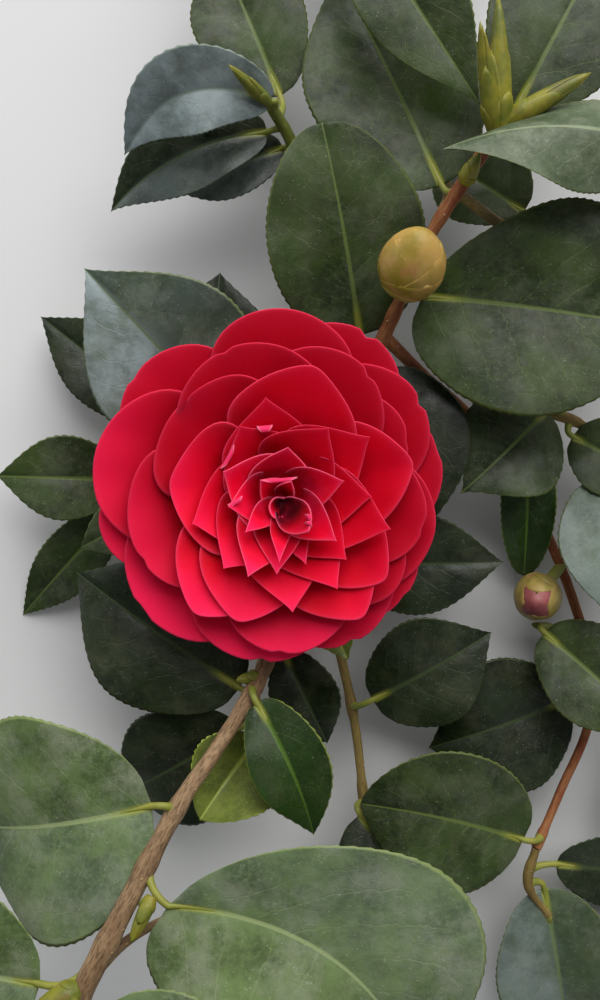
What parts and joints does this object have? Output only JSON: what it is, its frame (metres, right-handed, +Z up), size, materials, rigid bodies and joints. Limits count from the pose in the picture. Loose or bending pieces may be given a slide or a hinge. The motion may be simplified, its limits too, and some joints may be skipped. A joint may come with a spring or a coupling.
{
  "type": "cut camellia branch with a double flower",
  "caption": "Cut branch of a camellia shrub with leathery leaves, buds and an open double red flower, lying with the flower up.",
  "frame": {"origin": "under the middle of the branch's box, on the surface that it lies on", "axes": "+Z up, the way the flower faces; +Y along the branch from its cut end to its tip; +X to the right"},
  "size_m": [0.2634, 0.3654, 0.0888],
  "materials": {
    "bark": "dry striated bark",
    "red_bark": "smooth young bark",
    "leaf": "leathery, half glossy, dusty",
    "bud_scales": "smooth, half matt",
    "petals": "velvety"
  },
  "bodies": {
    "root": {"main_stem": "bark", "right_bough": "red_bark", "leaf_corner": "leaf", "leaf_bottom": "leaf", "leaf_front": "leaf", "leaf_left": "leaf", "leaf_spoon": "leaf", "leaf_low_left": "leaf", "leaf_behind": "leaf", "leaf_below": "leaf", "leaf_low_middle": "leaf", "leaf_above": "leaf", "leaf_top": "leaf", "leaf_end": "leaf", "leaf_right": "leaf", "leaf_beside": "leaf", "leaf_shaded": "leaf", "leaf_round": "leaf", "spray_upper_left": "leaf", "spray_top": "leaf", "spray_far_right": "leaf", "spray_left": "leaf", "spray_low": "leaf", "spray_right_upper": "leaf", "spray_right_middle": "leaf", "spray_right_side": "leaf", "spray_right_end": "leaf", "flower_bud": "bud_scales", "small_bud": "bud_scales", "calyx": "bud_scales", "flower": "petals"}
  },
  "joints": []
}
